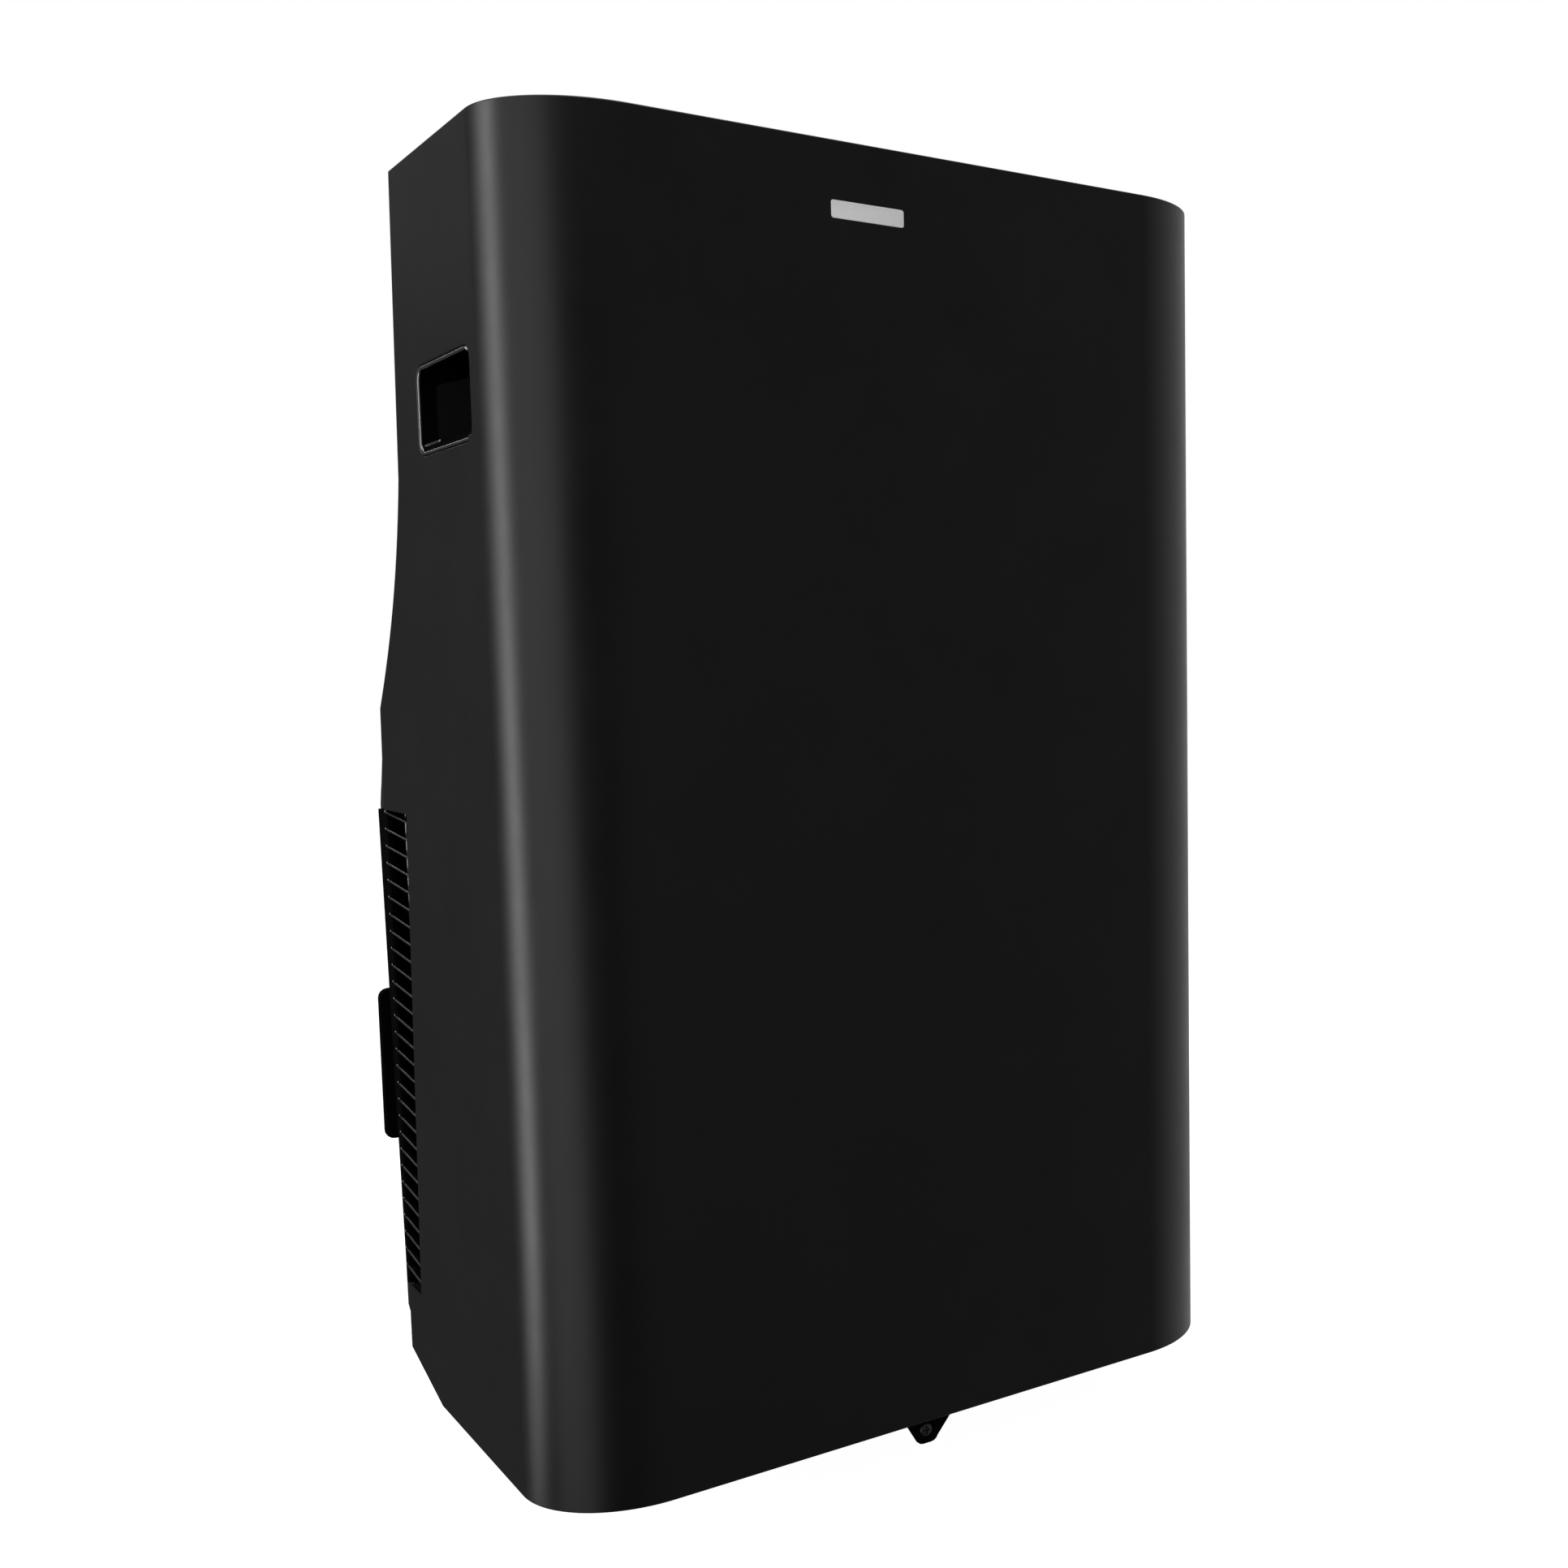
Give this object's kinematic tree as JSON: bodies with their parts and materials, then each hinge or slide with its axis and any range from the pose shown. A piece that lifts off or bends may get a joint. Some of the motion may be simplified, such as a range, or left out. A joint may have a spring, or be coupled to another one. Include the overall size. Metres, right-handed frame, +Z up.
{
  "type": "portable air conditioner",
  "caption": "Tall free-standing room air conditioner with a wrap-round satin front, side finger grips, slotted rear corners, top louvre, rear exhaust port and swivel casters.",
  "frame": {"origin": "middle of the floor under the cabinet's bounding box", "axes": "+Z up, -Y towards the front face, +X to the right seen from the front"},
  "size_m": [0.438, 0.345, 0.728],
  "materials": {
    "shell_black": "satin moulded, very fine texture",
    "rear_black": "moulded, fine texture",
    "gloss_black": "glossy moulded",
    "button_grey": "satin moulded",
    "wheel_grey": "satin moulded nylon",
    "rubber_black": "matte",
    "duct_white": "plain moulded",
    "fan_black": "plain moulded",
    "zinc_steel": "zinc coated sheet",
    "bright_steel": "bright plated",
    "copper": "bare copper tube",
    "fin_aluminium": "thin fins",
    "compressor_black": "semi-gloss paint",
    "board_green": "solder mask",
    "foam_white": "moulded foam"
  },
  "bodies": {
    "cabinet": {"front_panel": "shell_black", "top_cover": "shell_black", "rear_cover_upper": "rear_black", "rear_cover_lower": "rear_black", "handle_pocket_left": "gloss_black", "handle_pocket_right": "gloss_black", "cord_cleat_left": "rear_black", "cord_cleat_right": "rear_black", "exhaust_collar": "rear_black", "base_pan": "zinc_steel", "front_tab": "rear_black", "tab_screw": "bright_steel", "cord_gland": "rubber_black", "louvre_motor": "duct_white", "control_panel": "gloss_black", "display_board": "board_green", "evaporator_coil": "fin_aluminium", "evaporator_scroll": "foam_white", "evaporator_motor": "zinc_steel", "drain_tray": "duct_white", "condenser_coil": "fin_aluminium", "condenser_scroll": "duct_white", "condenser_motor": "zinc_steel", "compressor": "compressor_black", "accumulator": "compressor_black", "discharge_pipe": "copper", "suction_pipe": "copper", "capillary_pipe": "copper", "control_box": "zinc_steel", "splash_motor": "duct_white"},
    "caster_front_left": {"caster_fork_front_left": "fan_black"},
    "wheel_front_left": {"caster_wheel_front_left": "wheel_grey"},
    "caster_front_right": {"caster_fork_front_right": "fan_black"},
    "wheel_front_right": {"caster_wheel_front_right": "wheel_grey"},
    "caster_rear_left": {"caster_fork_rear_left": "fan_black"},
    "wheel_rear_left": {"caster_wheel_rear_left": "wheel_grey"},
    "caster_rear_right": {"caster_fork_rear_right": "fan_black"},
    "wheel_rear_right": {"caster_wheel_rear_right": "wheel_grey"},
    "flap": {"louvre_flap": "shell_black"},
    "vane_1": {"guide_vane_1": "fan_black"},
    "vane_2": {"guide_vane_2": "fan_black"},
    "vane_3": {"guide_vane_3": "fan_black"},
    "vane_4": {"guide_vane_4": "fan_black"},
    "vane_5": {"guide_vane_5": "fan_black"},
    "vane_link": {"vane_link": "fan_black"},
    "button_1": {"button_1": "button_grey"},
    "button_2": {"button_2": "button_grey"},
    "button_3": {"button_3": "button_grey"},
    "button_4": {"button_4": "button_grey"},
    "button_5": {"button_5": "button_grey"},
    "button_6": {"button_6": "button_grey"},
    "button_7": {"button_7": "button_grey"},
    "upper_filter": {"upper_filter": "rear_black"},
    "lower_filter": {"lower_filter": "rear_black"},
    "upper_drain_cap": {"upper_drain_cap": "rubber_black"},
    "lower_drain_cap": {"lower_drain_cap": "rubber_black"},
    "evaporator_wheel": {"evaporator_wheel": "fan_black"},
    "condenser_wheel": {"condenser_wheel": "fan_black"},
    "splash_wheel": {"splash_wheel": "fan_black"},
    "water_float": {"water_float": "foam_white"}
  },
  "joints": [
    {"name": "front_left_swivel", "type": "hinge", "parent": "cabinet", "child": "caster_front_left", "pos_m": [-0.15, -0.0755, 0.043], "axis": [0, 0, 1], "continuous": true},
    {"name": "front_left_roll", "type": "hinge", "parent": "caster_front_left", "child": "wheel_front_left", "pos_m": [-0.15, -0.0625, 0.02], "axis": [1, 0, 0], "continuous": true},
    {"name": "front_right_swivel", "type": "hinge", "parent": "cabinet", "child": "caster_front_right", "pos_m": [0.15, -0.0755, 0.043], "axis": [0, 0, 1], "continuous": true},
    {"name": "front_right_roll", "type": "hinge", "parent": "caster_front_right", "child": "wheel_front_right", "pos_m": [0.15, -0.0625, 0.02], "axis": [1, 0, 0], "continuous": true},
    {"name": "rear_left_swivel", "type": "hinge", "parent": "cabinet", "child": "caster_rear_left", "pos_m": [-0.15, 0.0425, 0.043], "axis": [0, 0, 1], "continuous": true},
    {"name": "rear_left_roll", "type": "hinge", "parent": "caster_rear_left", "child": "wheel_rear_left", "pos_m": [-0.15, 0.0555, 0.02], "axis": [1, 0, 0], "continuous": true},
    {"name": "rear_right_swivel", "type": "hinge", "parent": "cabinet", "child": "caster_rear_right", "pos_m": [0.15, 0.0425, 0.043], "axis": [0, 0, 1], "continuous": true},
    {"name": "rear_right_roll", "type": "hinge", "parent": "caster_rear_right", "child": "wheel_rear_right", "pos_m": [0.15, 0.0555, 0.02], "axis": [1, 0, 0], "continuous": true},
    {"name": "flap_open", "type": "hinge", "parent": "cabinet", "child": "flap", "pos_m": [0, -0.0735, 0.718], "axis": [-1, 0, 0], "range_deg": [0, 75]},
    {"name": "vane_1_turn", "type": "hinge", "parent": "cabinet", "child": "vane_1", "pos_m": [-0.108, -0.1065, 0.702], "axis": [0, 1, 0], "range_deg": [-25, 25]},
    {"name": "vane_2_turn", "type": "hinge", "parent": "cabinet", "child": "vane_2", "pos_m": [-0.054, -0.1065, 0.702], "axis": [0, 1, 0], "range_deg": [-25, 25]},
    {"name": "vane_3_turn", "type": "hinge", "parent": "cabinet", "child": "vane_3", "pos_m": [0, -0.1065, 0.702], "axis": [0, 1, 0], "range_deg": [-25, 25]},
    {"name": "vane_4_turn", "type": "hinge", "parent": "cabinet", "child": "vane_4", "pos_m": [0.054, -0.1065, 0.702], "axis": [0, 1, 0], "range_deg": [-25, 25]},
    {"name": "vane_5_turn", "type": "hinge", "parent": "cabinet", "child": "vane_5", "pos_m": [0.108, -0.1065, 0.702], "axis": [0, 1, 0], "range_deg": [-25, 25]},
    {"name": "vane_link_slide", "type": "slide", "parent": "cabinet", "child": "vane_link", "axis": [1, 0, 0], "range_m": [-0.0037, 0.0037]},
    {"name": "button_1_press", "type": "slide", "parent": "cabinet", "child": "button_1", "axis": [0, 0, -1], "range_m": [0, 0.001], "stiffness_N_per_m": 500},
    {"name": "button_2_press", "type": "slide", "parent": "cabinet", "child": "button_2", "axis": [0, 0, -1], "range_m": [0, 0.001], "stiffness_N_per_m": 500},
    {"name": "button_3_press", "type": "slide", "parent": "cabinet", "child": "button_3", "axis": [0, 0, -1], "range_m": [0, 0.001], "stiffness_N_per_m": 500},
    {"name": "button_4_press", "type": "slide", "parent": "cabinet", "child": "button_4", "axis": [0, 0, -1], "range_m": [0, 0.001], "stiffness_N_per_m": 500},
    {"name": "button_5_press", "type": "slide", "parent": "cabinet", "child": "button_5", "axis": [0, 0, -1], "range_m": [0, 0.001], "stiffness_N_per_m": 500},
    {"name": "button_6_press", "type": "slide", "parent": "cabinet", "child": "button_6", "axis": [0, 0, -1], "range_m": [0, 0.001], "stiffness_N_per_m": 500},
    {"name": "button_7_press", "type": "slide", "parent": "cabinet", "child": "button_7", "axis": [0, 0, -1], "range_m": [0, 0.001], "stiffness_N_per_m": 500},
    {"name": "upper_filter_pull", "type": "slide", "parent": "cabinet", "child": "upper_filter", "axis": [0, 0.999, 0.0437], "range_m": [0, 0.03]},
    {"name": "lower_filter_pull", "type": "slide", "parent": "cabinet", "child": "lower_filter", "axis": [0, 0.9976, -0.0699], "range_m": [0, 0.03]},
    {"name": "upper_drain_pull", "type": "slide", "parent": "cabinet", "child": "upper_drain_cap", "axis": [0, 1, 0], "range_m": [0, 0.015]},
    {"name": "lower_drain_pull", "type": "slide", "parent": "cabinet", "child": "lower_drain_cap", "axis": [0, 1, 0], "range_m": [0, 0.015]},
    {"name": "evaporator_wheel_spin", "type": "hinge", "parent": "cabinet", "child": "evaporator_wheel", "pos_m": [-0.02, -0.0765, 0.553], "axis": [0, 1, 0], "continuous": true},
    {"name": "condenser_wheel_spin", "type": "hinge", "parent": "cabinet", "child": "condenser_wheel", "pos_m": [0.038, 0.0365, 0.208], "axis": [0, 1, 0], "continuous": true},
    {"name": "splash_wheel_spin", "type": "hinge", "parent": "cabinet", "child": "splash_wheel", "pos_m": [0.19, 0.0525, 0.083], "axis": [1, 0, 0], "continuous": true},
    {"name": "float_rise", "type": "slide", "parent": "cabinet", "child": "water_float", "axis": [0, 0, 1], "range_m": [0, 0.014]}
  ],
  "couplings": [
    {"joint": "vane_1_turn", "follows": "vane_3_turn", "ratio": 1},
    {"joint": "vane_2_turn", "follows": "vane_3_turn", "ratio": 1},
    {"joint": "vane_4_turn", "follows": "vane_3_turn", "ratio": 1},
    {"joint": "vane_5_turn", "follows": "vane_3_turn", "ratio": 1},
    {"joint": "vane_link_slide", "follows": "vane_3_turn", "m_per_rad": -0.008}
  ]
}
